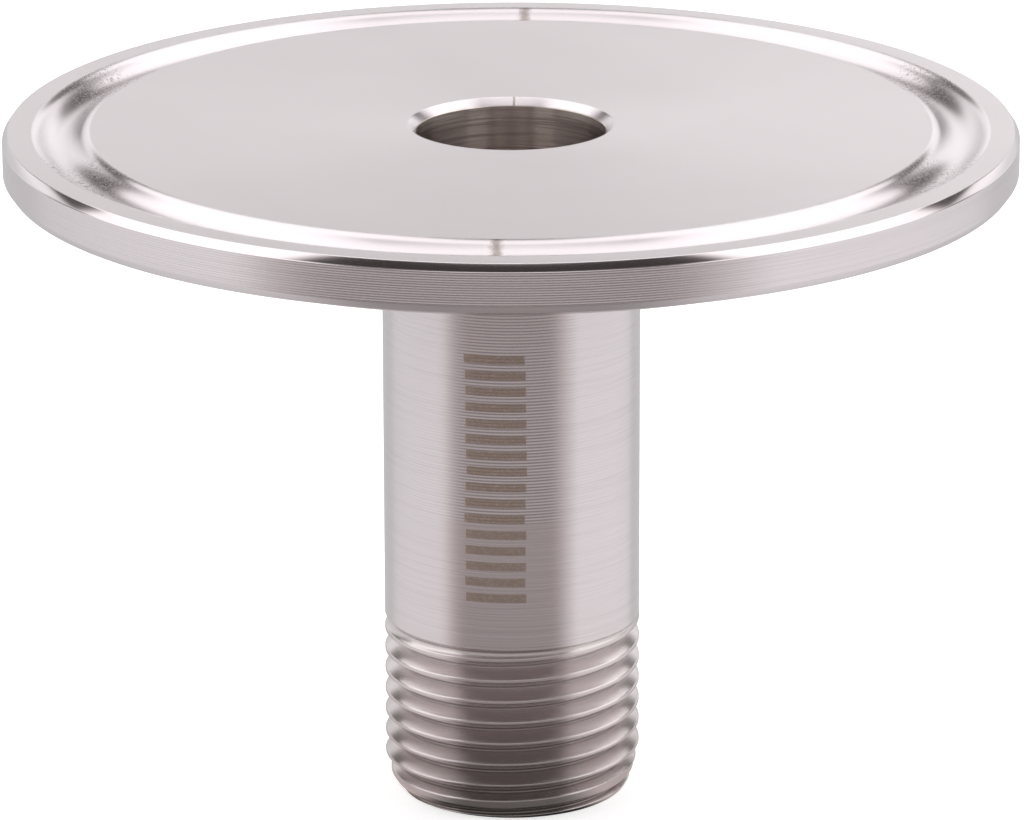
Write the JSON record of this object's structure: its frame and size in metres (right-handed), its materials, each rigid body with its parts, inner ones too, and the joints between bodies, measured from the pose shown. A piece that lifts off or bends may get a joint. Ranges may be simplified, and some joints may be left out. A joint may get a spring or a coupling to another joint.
{
  "type": "sanitary clamp threaded adapter",
  "caption": "One-piece steel adapter: a round clamp flange with a gasket groove on a bored stem that ends in a male pipe thread.",
  "frame": {"origin": "centre of the threaded end's face, which is the bottom centre of the bounding box", "axes": "+Z along the bore, from the threaded end up to the flange's gasket face"},
  "size_m": [0.064, 0.064, 0.044],
  "materials": {
    "steel": "fine turned, satin face"
  },
  "bodies": {
    "root": {"adapter_body": "steel"}
  },
  "joints": []
}
